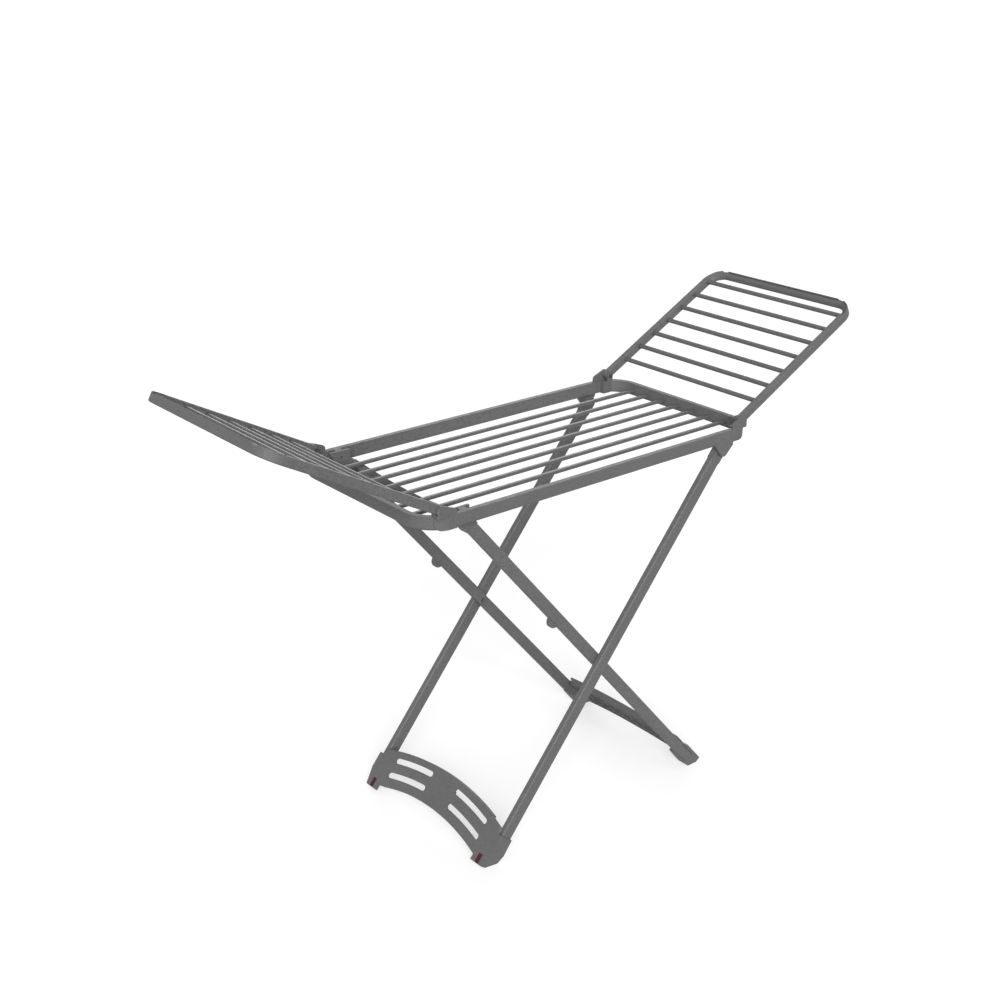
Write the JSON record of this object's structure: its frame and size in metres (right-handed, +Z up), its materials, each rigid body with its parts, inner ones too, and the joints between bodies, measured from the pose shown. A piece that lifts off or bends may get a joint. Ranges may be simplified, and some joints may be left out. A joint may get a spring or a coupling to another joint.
{
  "type": "clothes drying rack",
  "caption": "Folding clothes drying rack: long centre frame of rods, two hinged wings tilted upwards, crossed scissor legs and arched foot bridges.",
  "frame": {"origin": "on the floor under the middle of the open rack", "axes": "+X along the rack towards the end with the fold pivots, +Y across it, +Z up"},
  "size_m": [1.9506, 0.55, 1.3134],
  "materials": {
    "frame_paint": "anthracite powder coat on profiles, fine texture",
    "moulded_plastic": "anthracite moulded plastic, fine grain",
    "rod_coating": "anthracite coated tube, smooth",
    "foot_rubber": "dark red rubber",
    "pin_steel": "zinc plated steel",
    "black_plastic": "black bearing plastic"
  },
  "bodies": {
    "outer_legs": {"outer_leg_front": "frame_paint", "outer_leg_rear": "frame_paint", "outer_leg_knuckles": "moulded_plastic", "outer_leg_bushes": "black_plastic", "outer_foot_bridge": "moulded_plastic", "outer_foot_pads": "foot_rubber", "crossing_pins": "pin_steel", "crossing_washers": "black_plastic"},
    "inner_legs": {"inner_leg_front": "frame_paint", "inner_leg_rear": "frame_paint", "inner_leg_cap_front": "moulded_plastic", "inner_leg_cap_rear": "moulded_plastic", "inner_leg_bushes": "black_plastic", "inner_top_bar": "moulded_plastic", "inner_foot_bridge": "moulded_plastic", "inner_foot_pads": "foot_rubber", "leg_clips": "moulded_plastic"},
    "centre_frame": {"side_rail_front": "frame_paint", "side_rail_rear": "frame_paint", "end_moulding_left": "moulded_plastic", "end_moulding_right": "moulded_plastic", "fold_pivot_pins": "pin_steel", "centre_rod_1": "rod_coating", "centre_rod_2": "rod_coating", "centre_rod_3": "rod_coating", "centre_rod_4": "rod_coating", "centre_rod_5": "rod_coating", "centre_rod_6": "rod_coating", "centre_rod_7": "rod_coating", "left_hinge_pins": "pin_steel", "right_hinge_pins": "pin_steel"},
    "left_wing": {"left_wing_rail_front": "frame_paint", "left_wing_rail_rear": "frame_paint", "left_wing_end": "moulded_plastic", "left_wing_rod_1": "rod_coating", "left_wing_rod_2": "rod_coating", "left_wing_rod_3": "rod_coating", "left_wing_rod_4": "rod_coating", "left_wing_rod_5": "rod_coating", "left_wing_rod_6": "rod_coating", "left_wing_rod_7": "rod_coating"},
    "right_wing": {"right_wing_rail_front": "frame_paint", "right_wing_rail_rear": "frame_paint", "right_wing_end": "moulded_plastic", "right_wing_rod_1": "rod_coating", "right_wing_rod_2": "rod_coating", "right_wing_rod_3": "rod_coating", "right_wing_rod_4": "rod_coating", "right_wing_rod_5": "rod_coating", "right_wing_rod_6": "rod_coating", "right_wing_rod_7": "rod_coating"}
  },
  "joints": [
    {"name": "frame_fold", "type": "hinge", "parent": "outer_legs", "child": "centre_frame", "pos_m": [0.441, 0, 0.9795], "axis": [0, -1, 0], "range_deg": [0, 50.83]},
    {"name": "inner_leg_fold", "type": "hinge", "parent": "outer_legs", "child": "inner_legs", "pos_m": [0.02704, 0, 0.47138], "axis": [0, 1, 0], "range_deg": [0, 79.91]},
    {"name": "left_wing_fold", "type": "hinge", "parent": "centre_frame", "child": "left_wing", "pos_m": [-0.516, 0, 1.0498], "axis": [0, 1, 0], "range_deg": [0, 152]},
    {"name": "right_wing_fold", "type": "hinge", "parent": "centre_frame", "child": "right_wing", "pos_m": [0.516, 0, 1.0498], "axis": [0, -1, 0], "range_deg": [0, 152]}
  ],
  "couplings": [
    {"joint": "inner_leg_fold", "follows": "frame_fold", "ratio": 1.572}
  ]
}
